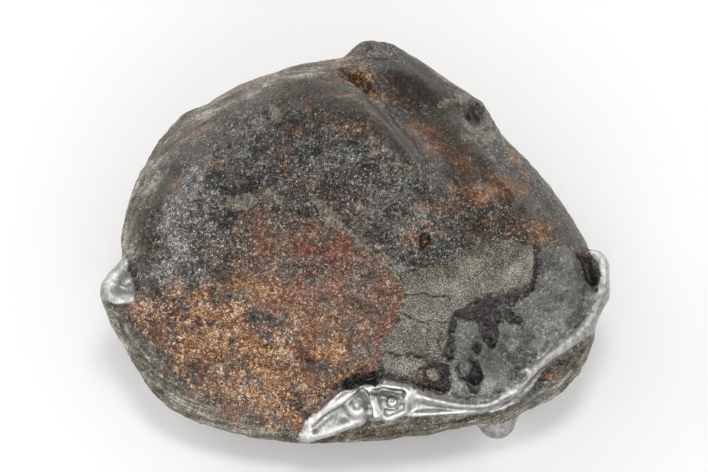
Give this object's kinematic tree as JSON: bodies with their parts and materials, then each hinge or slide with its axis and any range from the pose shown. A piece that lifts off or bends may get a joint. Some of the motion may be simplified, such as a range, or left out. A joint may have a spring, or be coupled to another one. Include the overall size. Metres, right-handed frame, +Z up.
{
  "type": "pallasite meteorite",
  "caption": "Natural stony-iron nodule with a dark rusty crust, bare metal plates, a rolled metal lip and small metal knobs, resting on a flat spot.",
  "frame": {"origin": "centre of the footprint's box, on the flat spot that the stone rests on", "axes": "+X to the right along the longest side, +Y to the back, +Z up, away from the flat spot"},
  "size_m": [0.0509, 0.0395, 0.0252],
  "materials": {
    "crust": "dark, rust-stained fusion crust over iron and olivine, worn satin, with bare metal where it is rubbed"
  },
  "bodies": {
    "root": {"meteorite": "crust"}
  },
  "joints": []
}
